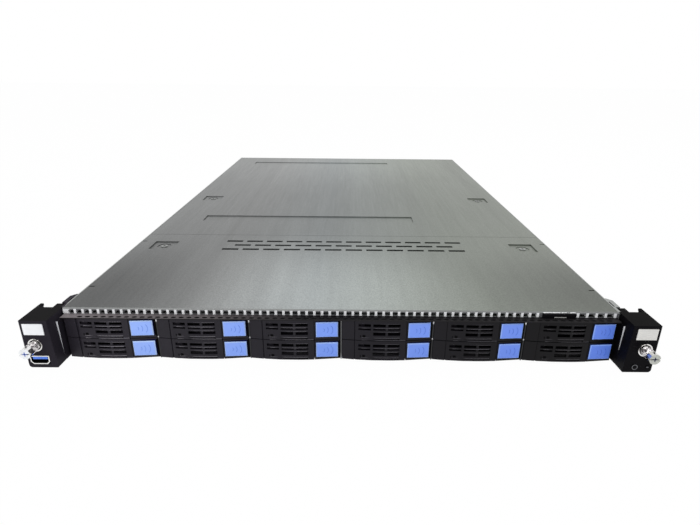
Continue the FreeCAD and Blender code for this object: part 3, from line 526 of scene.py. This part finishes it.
def front_panel_face(c, n):
    """The slotted edge on its face and inside the slots, the bend over it, and the sheet."""
    if c.y < BEND_BACK and -0.95 < n.y < -0.3:
        return 2
    in_comb = c.y < FOLD_BACK and COMB_LOW < c.z < COMB_HIGH
    return 1 if in_comb and (n.y < -0.9 or abs(n.x) > 0.5) else 0


def cage_face(c, n):
    """The dividers' front edges, grey in the middle one; the top of the lip; and the rest."""
    if n.y < -0.9 and c.z < ROOF_Z - 1.0 * MM and c.y < DIVIDER_Y:
        return 3 if abs(c.x) < 5 * MM else 1
    return 2 if n.z > 0.9 and c.z > ROOF_Z - 0.2 * MM else 0


def tray_rule(tab_right):
    """Black front, painted darker right of the tab and behind the front, as painted shade, and a
    metal drive.
    """
    def rule(c, n):
        if c.y > DRIVE_Y:
            return 1
        return 2 if c.y > PLATE_BACK or c.x > tab_right else 0
    return rule


def tab_face(c, n):
    """Face, a chamfer round it painted lighter as highlight, and sides painted dark as shade."""
    if n.y < -0.9:
        return 0
    return 1 if n.y < -0.3 else 2


def ear_face(c, n):
    """The ears' tops are painted darker, as painted shade."""
    return 1 if n.z > 0.5 else 0


def usb_face(c, n):
    """Bright shell outside and round the mouth, painted black within as shade, and the blue
    tongue.
    """
    if abs(c.x - usb_mid.x) < TONGUE_HALF and TONGUE_Z[0] <= c.z < TONGUE_Z[1]:
        return 1
    inward = n.x * (usb_mid.x - c.x) + n.z * (usb_mid.z - c.z) > 0
    return 2 if inward and abs(n.y) < 0.5 else 0


def screw_face(c, n):
    """Knurled neck, the knob's front, and nickel elsewhere."""
    if KNOB_BACK < c.y < COLLAR_FRONT:
        return 1
    return 2 if n.y < -0.5 and c.y < KNOB_BACK else 0


def board_face(c, n):
    """Steel connectors at the rear, dark chips and sockets, and the green board."""
    if c.z > PORTS_Z and c.y > PORTS_Y and c.x < PORTS_X:
        return 1
    return 2 if CHIPS_Z[0] < c.z < CHIPS_Z[1] else 0


paint("chassis_base", [zinc_side, ear_black, nose_left, nose_right], chassis_face)
paint("front_top_panel", [zinc_top, comb_zinc, bend_zinc], front_panel_face)
paint("rear_top_cover", [zinc_top])
paint("drive_cage", [cage_black, edge_metal, cage_lip, edge_grey], cage_face)
for i in TRAYS:
    tab_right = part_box("tray_latch_%02d" % i)[1].x + 0.1 * MM
    paint("drive_tray_%02d" % i, [tray_black, drive_metal, deep_black], tray_rule(tab_right))
    paint("tray_lever_%02d" % i, [tray_black])
    paint("tray_latch_%02d" % i, [tab_blue, tab_rim, tab_side_shade], tab_face)
for node in ("left_ear", "right_ear"):
    paint(node, [ear_black, ear_top_shade], ear_face)
for node in ("power_button", "id_button", "info_tag"):
    paint(node, [ear_black])
for node in ("thumbscrew_left", "thumbscrew_right"):
    paint(node, [nickel, knurl, knob_face], screw_face)
paint("ear_badges", [badge_white])
paint("usb_port", [usb_shell, usb_blue, deep_black], usb_face)
paint("fan_housings", [fan_black])
for i in FANS:
    paint("fan_rotor_%d" % i, [fan_black])
paint("motherboard", [pcb, usb_shell, chip_black], board_face)
for node in ("drive_backplane", "memory_modules"):
    paint(node, [pcb])
paint("cpu_heatsinks", [fins])
for node in ("psu_1", "psu_2"):
    paint(node, [psu_metal])


# ------------------------------------------------------------------ shapes of small pieces

def finish_piece(name, bm, material, body):
    """Makes the mesh a piece of its own that moves with a body."""
    mesh = bpy.data.meshes.new(name)
    bm.to_mesh(mesh)
    bm.free()
    mesh.materials.append(material)
    piece = bpy.data.objects.new(name, mesh)
    SCENE.collection.objects.link(piece)
    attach(piece, body)


def bridge(bm, one, two):
    """Faces between two rings of points."""
    for k in range(len(one)):
        after = (k + 1) % len(one)
        bm.faces.new((one[k], one[after], two[after], two[k]))


def turns(sides):
    return [2 * math.pi * k / sides for k in range(sides)]


def ribbon_tube(bm, points, radius, sides=6):
    """A thin round bar along the points, with closed ends."""
    rings = []
    for i, point in enumerate(points):
        before, after = points[max(i - 1, 0)], points[min(i + 1, len(points) - 1)]
        along = (after - before).normalized()
        side = along.cross(Vector((0, 1, 0)))
        if side.length < 0.1:
            side = along.cross(Vector((0, 0, 1)))
        side.normalize()
        up = along.cross(side)
        rings.append([bm.verts.new(point + side * (radius * math.cos(angle))
                                   + up * (radius * math.sin(angle))) for angle in turns(sides)])
    for one, two in zip(rings, rings[1:]):
        bridge(bm, one, two)
    bm.faces.new(list(reversed(rings[0])))
    bm.faces.new(rings[-1])


def soft_plate(bm, centre, size, bevel):
    """A thin plate with softened edges; its size and bevel are in mm."""
    made = bmesh.ops.create_cube(bm, size=1.0)["verts"]
    bmesh.ops.scale(bm, vec=Vector(size) * MM, verts=made)
    bmesh.ops.translate(bm, vec=centre, verts=made)
    edges = {e for v in made for e in v.link_edges}
    bmesh.ops.bevel(bm, geom=list(edges), offset=bevel * MM, segments=2, affect="EDGES")


def flat_disc(bm, centre, half_x, half_y, thick, sides=12):
    """A thin level disc, round or oval."""
    x, y, z = centre
    low, high = ([bm.verts.new((x + half_x * math.cos(angle), y + half_y * math.sin(angle),
                                z + level)) for angle in turns(sides)]
                 for level in (-thick / 2, thick / 2))
    bridge(bm, low, high)
    bm.faces.new(list(reversed(low)))
    bm.faces.new(high)
    bmesh.ops.recalc_face_normals(bm, faces=bm.faces[:])


def flat_ring(bm, centre, inner, outer, thick, sides=32):
    """A flat ring that faces the front."""
    x, y, z = centre
    loops = [[bm.verts.new((x + radius * math.cos(angle), y + level,
                            z + radius * math.sin(angle))) for angle in turns(sides)]
             for radius, level in ((inner, -thick), (outer, -thick), (outer, 0.0), (inner, 0.0))]
    for one, two in zip(loops, loops[1:] + loops[:1]):
        bridge(bm, one, two)
    bmesh.ops.recalc_face_normals(bm, faces=bm.faces[:])


# ------------------------------------------------------------------ tabs and levers

TAB_LEAN = 1.2 * MM                      # a tab's right side stands back by this much
ARC_SWEEP = 84                           # degrees
ARCS = ((2.2, 4.5), (3.7, 6.0), (5.2, 8.1))    # mm: radius, and middle from the tab's left

# Plan of a lever's front: share of its width, and depth behind its foremost line in mm.
LEVER_PLAN = ((0.095, 1.1), (0.28, 0.62), (0.46, 0.2), (0.73, 0.0), (0.86, 0.3), (1.0, 0.6))

# Raised lines, painted light as highlights: from and to as shares of the width, share of the
# height, radius in mm.
RIBS = ((0.17, 0.86, 0.625, 0.22), (0.30, 0.86, 0.435, 0.14), (0.17, 0.88, 0.135, 0.22),
        (0.17, 0.99, 0.012, 0.20), (0.17, 0.88, 0.845, 0.12))

# Lamp window, notch beside it and square mark at the far end: share of the width, then
# height of the middle, size and bevel in mm.
LEVER_MARKS = ((0.215, 3.6, (2.4, 0.5, 2.2), 0.1), (0.150, 3.4, (0.7, 0.4, 1.7), 0.08),
               (0.865, 1.1, (1.3, 0.4, 1.3), 0.08))
# painted shade: the groove's dark line
GROOVE = (0.36, 0.46, 0.56, 0.66, 0.73, 0.80, 0.86)      # dark line low on the lever
GROOVE_Z = 1.35 * MM
STEPS = 8                                # of an arc or a line


def tab_arcs(i):
    """Three raised arcs on the face of a release tab."""
    lo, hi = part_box("tray_latch_%02d" % i)
    mid_z = (lo.z + hi.z) / 2
    bm = bmesh.new()
    for radius, start in ARCS:
        centre_x = lo.x + start * MM
        points = []
        for step in range(STEPS + 1):
            angle = math.radians(-ARC_SWEEP / 2 + ARC_SWEEP * step / STEPS)
            x = centre_x + radius * MM * math.cos(angle)
            lean = TAB_LEAN * (x - lo.x) / (hi.x - lo.x)
            z = mid_z + radius * MM * math.sin(angle)
            points.append(Vector((x, lo.y + lean + 0.05 * MM, z)))
        ribbon_tube(bm, points, 0.25 * MM)
    finish_piece("tab_arcs_%02d" % i, bm, tab_line, "latch_%02d" % i)


def lever_depth(share):
    """How far the lever's front stands back at a share of its width."""
    for (a, ya), (b, yb) in zip(LEVER_PLAN, LEVER_PLAN[1:]):
        if share <= b:
            return (ya + (yb - ya) * (share - a) / (b - a)) * MM


def lever_details(i):
    """Thin raised lines along a lever's front, painted light as highlights; its lamp window; and
    its dark marks, of which the notch and the groove are painted shade.
    """
    lo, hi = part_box("tray_lever_%02d" % i)
    width, height = hi.x - lo.x, hi.z - lo.z

    def place(share, z, proud=0.0):
        return Vector((lo.x + width * share, lo.y + lever_depth(share) + proud, lo.z + z))

    bm = bmesh.new()
    for start, end, level, thick in RIBS:
        shares = [start + (end - start) * step / STEPS for step in range(STEPS + 1)]
        points = [place(share, height * level, 0.02 * MM) for share in shares]
        ribbon_tube(bm, points, thick * MM, 5)
    finish_piece("lever_ribs_%02d" % i, bm, lever_rib_highlight, "lever_%02d" % i)
    # the notch and the groove are dark plates and a bar put in as painted shade; the lamp window
    # is a dark insert
    bm = bmesh.new()
    for share, level, size, bevel in LEVER_MARKS:
        soft_plate(bm, place(share, level * MM), size, bevel)
    ribbon_tube(bm, [place(share, GROOVE_Z) for share in GROOVE], 0.28 * MM, 5)
    finish_piece("lamp_window_and_shade_%02d" % i, bm, deep_black, "lever_%02d" % i)


for i in TRAYS:
    tab_arcs(i)
    lever_details(i)


# ------------------------------------------------------------------ screws, buttons and tag

COIL_R = 3.75 * MM
COIL_WIRE = 0.32 * MM
COIL_TURNS = 6
COIL_STEPS = 16                          # in each turn
CROSS = ((3.4, 0.12, 0.9), (0.9, 0.12, 3.4))


def screw_details(side, body):
    """A thumbscrew's coil behind its knob, a dark ring as painted shade in the groove on its
    collar, and a cross in its front painted dark as shade.
    """
    lo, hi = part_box("thumbscrew_" + side)
    mid_x, mid_z = (lo.x + hi.x) / 2, (lo.z + hi.z) / 2
    bm = bmesh.new()
    points = []
    start, end = lo.y + 5.6 * MM, EAR_Y - 1.4 * MM
    for step in range(COIL_TURNS * COIL_STEPS + 1):
        t = step / (COIL_TURNS * COIL_STEPS)
        angle = 2 * math.pi * COIL_TURNS * t
        points.append(Vector((mid_x + COIL_R * math.cos(angle), start + (end - start) * t,
                              mid_z + COIL_R * math.sin(angle))))
    ribbon_tube(bm, points, COIL_WIRE)
    finish_piece("screw_spring_" + side, bm, coil_steel, body)
    bm = bmesh.new()
    flat_ring(bm, (mid_x, EAR_Y - 0.79 * MM, mid_z), 3.6 * MM, 4.5 * MM, 0.06 * MM)
    finish_piece("collar_groove_" + side, bm, deep_black, body)
    bm = bmesh.new()
    for size in CROSS:
        soft_plate(bm, Vector((mid_x, lo.y, mid_z)), size, 0.03)
    finish_piece("knob_cross_" + side, bm, recess, body)


def button_marks():
    """A pale ring round the power button's cap and a small bar on the second button."""
    lo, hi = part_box("power_button")
    middle = ((lo.x + hi.x) / 2, lo.y + 0.01 * MM, (lo.z + hi.z) / 2)
    bm = bmesh.new()
    flat_ring(bm, middle, 1.7 * MM, 2.25 * MM, 0.06 * MM)
    finish_piece("power_ring", bm, mark_grey, "power")
    lo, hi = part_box("id_button")
    bm = bmesh.new()
    soft_plate(bm, Vector(((lo.x + hi.x) / 2, lo.y, (lo.z + hi.z) / 2)), (1.6, 0.1, 0.9), 0.02)
    finish_piece("ident_bar", bm, mark_grey, "ident")


def tag_edge():
    """The pale front edge of the pull-out tag's grip."""
    lo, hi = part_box("info_tag")
    bm = bmesh.new()
    soft_plate(bm, Vector((lo.x + 13.5 * MM, lo.y, lo.z + 0.6 * MM)), (9.5, 0.14, 0.7), 0.03)
    finish_piece("tag_line", bm, mark_pale, "tag")


screw_details("left", "screw_left")
screw_details("right", "screw_right")
button_marks()
tag_edge()


# ------------------------------------------------------------------ top and lip

PAN_X = front_hi.x - 28.7 * MM           # stamped squares of the top, each with a screw
FRONT_PAN_Y = front_hi.y - 36 * MM
REAR_PAN_Y = cover_lo.y + 167.5 * MM
SEAT_DEPTH = 1.7 * MM                    # seat of a screw's head below the top
HEAD_R = 3.4 * MM
HEAD_H = 0.8 * MM
HEAD_CROSS = ((3.6, 0.8, 0.1), (0.8, 3.6, 0.1))
OVAL_Y = cage_lo.y + 2.2 * MM            # row of vents in the lip
OVAL_HALF = (2.1 * MM, 1.2 * MM)


def pan_screws(name, y, body):
    """Cross-slot screws in two stamped squares of the top."""
    places = [Vector((x, y, TOP_Z - SEAT_DEPTH + HEAD_H / 2)) for x in (-PAN_X, PAN_X)]
    bm = bmesh.new()
    for place in places:
        flat_disc(bm, place, HEAD_R, HEAD_R, HEAD_H, 24)
    finish_piece(name, bm, zinc_side, body)
    # dark plates in the cross-slots, as painted shade
    bm = bmesh.new()
    for place in places:
        for size in HEAD_CROSS:
            soft_plate(bm, place + Vector((0, 0, HEAD_H / 2)), size, 0.02)
    finish_piece(name + "_slots", bm, deep_black, body)


def lip_ovals():
    """A row of dark ovals laid on the roof's lip above the drives, painted shade standing in for
    its vents.
    """
    bm = bmesh.new()
    count = int((cage_hi.x - 6 * MM) / SLOT_PITCH)
    for k in range(-count, count + 1):
        flat_disc(bm, ((k + 0.5) * SLOT_PITCH, OVAL_Y, ROOF_Z), *OVAL_HALF, 0.06 * MM)
    finish_piece("lip_ovals", bm, deep_black, "chassis")


pan_screws("pan_screws_front", FRONT_PAN_Y, "chassis")
pan_screws("pan_screws_rear", REAR_PAN_Y, "top_cover")
lip_ovals()


# ------------------------------------------------------------------ floor, world and lamps

FLOOR_HALF = 6.0                         # metres
FLOOR_DROP = 0.0005                      # keeps the floor just under the server's base
FLOOR_GLOW = 0.985                       # share of white that is seen directly


def paper():
    """Pale paper; seen directly it is almost the white of the backdrop."""
    n = Nodes("floor_paper")
    n.set(Base_Color=(0.86, 0.86, 0.86, 1), Roughness=0.9, Specular_IOR_Level=0.1)
    glow = n.add("ShaderNodeEmission")
    glow.inputs["Color"].default_value = (1, 1, 1, 1)
    n.surface(n.calc("MULTIPLY", n.backdrop_rays(), FLOOR_GLOW), n.bsdf, glow)
    return n.mat


def add_floor():
    h = FLOOR_HALF
    mesh = bpy.data.meshes.new("floor")
    mesh.from_pydata([(-h, -h, 0), (h, -h, 0), (h, h, 0), (-h, h, 0)], [], [(0, 1, 2, 3)])
    mesh.materials.append(paper())
    floor = bpy.data.objects.new("floor", mesh)
    floor.location.z = -FLOOR_DROP
    SCENE.collection.objects.link(floor)


def add_world():
    """Soft light from all round, and white where the backdrop is seen."""
    SCENE.world = bpy.data.worlds.new("studio")
    sky = Tree(SCENE.world, "ShaderNodeOutputWorld")
    soft, white = sky.add("ShaderNodeBackground"), sky.add("ShaderNodeBackground")
    soft.inputs["Color"].default_value = (0.93, 0.95, 1.0, 1)
    soft.inputs["Strength"].default_value = 0.55
    white.inputs["Color"].default_value = (1, 1, 1, 1)
    white.inputs["Strength"].default_value = 1.0
    sky.surface(sky.backdrop_rays(), soft, white)


def add_lamp(name, place, target, size, power):
    """An area lamp that faces its target."""
    data = bpy.data.lights.new(name, "AREA")
    data.shape = "RECTANGLE"
    data.size, data.size_y = size
    data.energy = power
    lamp = bpy.data.objects.new(name, data)
    lamp.location = place
    aim = Vector(target) - Vector(place)
    lamp.rotation_euler = aim.to_track_quat("-Z", "Y").to_euler()
    SCENE.collection.objects.link(lamp)


add_floor()
add_world()
add_lamp("key_top", (0.3, 0.2, 1.6), (0, -0.05, 0), (1.6, 1.2), 16)
add_lamp("front_fill", (-0.5, -1.7, 0.9), (0, -0.3, 0.02), (1.2, 0.8), 10)


# ------------------------------------------------------------------ camera

LENS = 25.74                             # mm, on a sensor 36 mm wide
CAMERA_X = 5.4 * MM                      # right of the middle
CAMERA_AHEAD = 353.9 * MM                # in front of the top sheet's front edge
CAMERA_Z = 221.65 * MM
YAW, DOWN, ROLL = math.radians(-0.173), math.radians(21.355), math.radians(0.568)

SCENE.view_settings.view_transform = "Standard"

camera_data = bpy.data.cameras.new("camera")
camera_data.lens = LENS
camera_data.sensor_width = 36.0
camera_data.clip_start = 0.01
camera = bpy.data.objects.new("camera", camera_data)
turn = Matrix.Rotation(YAW, 4, "Z")
turn = turn @ Matrix.Rotation(math.pi / 2 - DOWN, 4, "X") @ Matrix.Rotation(ROLL, 4, "Z")
camera.matrix_world = Matrix.Translation((CAMERA_X, FRONT_Y - CAMERA_AHEAD, CAMERA_Z)) @ turn
SCENE.collection.objects.link(camera)
bpy.context.scene.camera = camera
